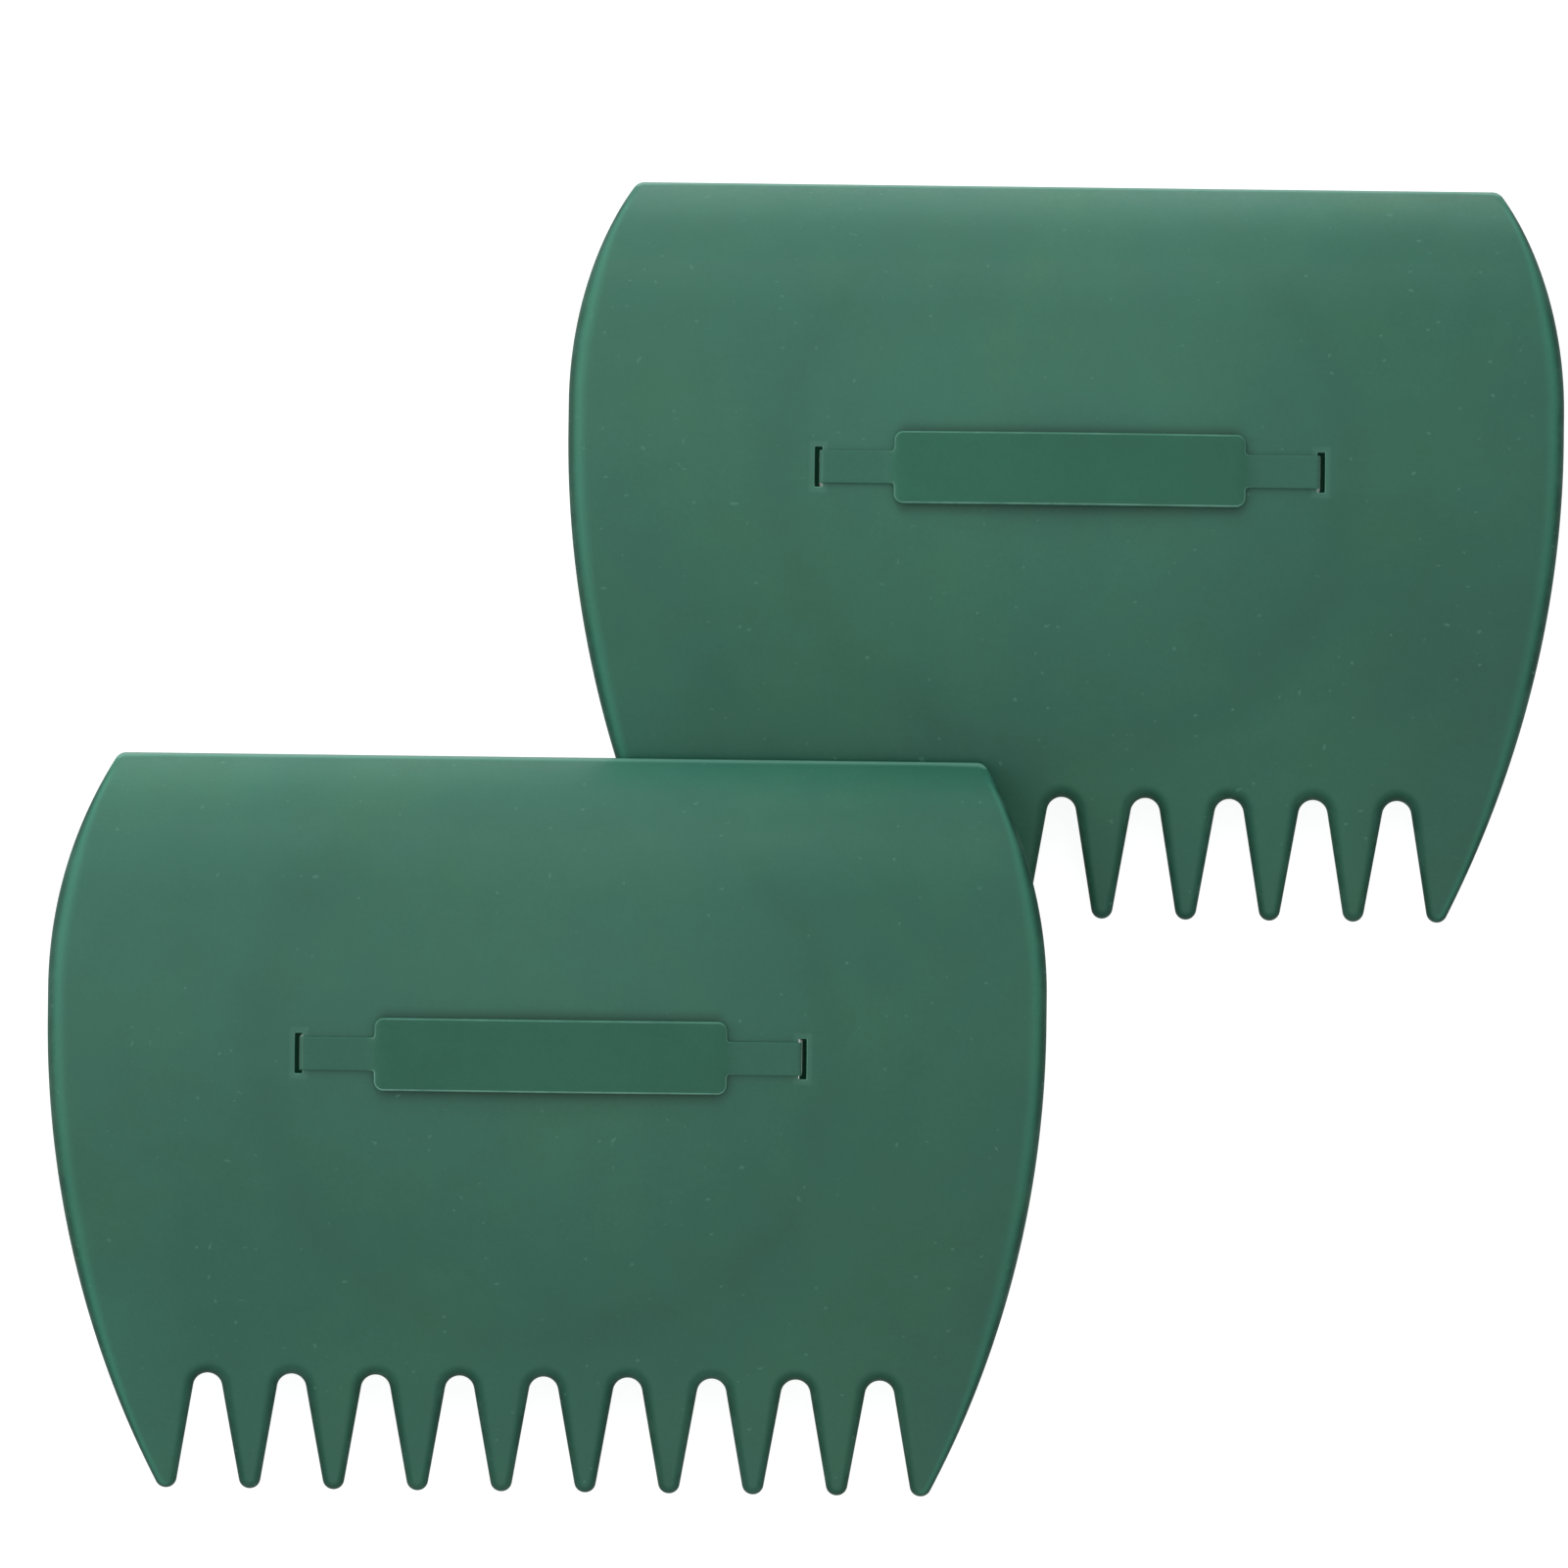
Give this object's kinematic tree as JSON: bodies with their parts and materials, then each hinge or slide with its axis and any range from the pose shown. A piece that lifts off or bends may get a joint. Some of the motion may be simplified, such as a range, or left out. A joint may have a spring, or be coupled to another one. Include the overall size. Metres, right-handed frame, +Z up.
{
  "type": "leaf grabber hands",
  "caption": "Pair of wide, curved plastic hand scoops with raking teeth, a rolled heel and a pull-out hand strap on the back of each.",
  "frame": {"origin": "on the ground, below the middle of the pair's outer box", "axes": "+X across the scoops, +Y from the teeth to the rolled heel, +Z up out of the scoops' backs"},
  "size_m": [0.5446, 0.4765, 0.0657],
  "materials": {
    "scoop_plastic": "semi-matte moulded green",
    "strap_plastic": "semi-matte moulded green"
  },
  "bodies": {
    "rear_scoop": {"rear_scoop_shell": "scoop_plastic"},
    "rear_strap": {"rear_hand_strap": "strap_plastic"},
    "front_scoop": {"front_scoop_shell": "scoop_plastic"},
    "front_strap": {"front_hand_strap": "strap_plastic"}
  },
  "joints": [
    {"name": "rear_strap_pull", "type": "slide", "parent": "rear_scoop", "child": "rear_strap", "axis": [0, 0, 1], "range_m": [0, 0.028]},
    {"name": "front_scoop_lift", "type": "slide", "parent": "rear_scoop", "child": "front_scoop", "axis": [0, 0, 1], "range_m": [0, 0.15]},
    {"name": "front_strap_pull", "type": "slide", "parent": "front_scoop", "child": "front_strap", "axis": [0, -0.1041, 0.9946], "range_m": [0, 0.028]}
  ]
}
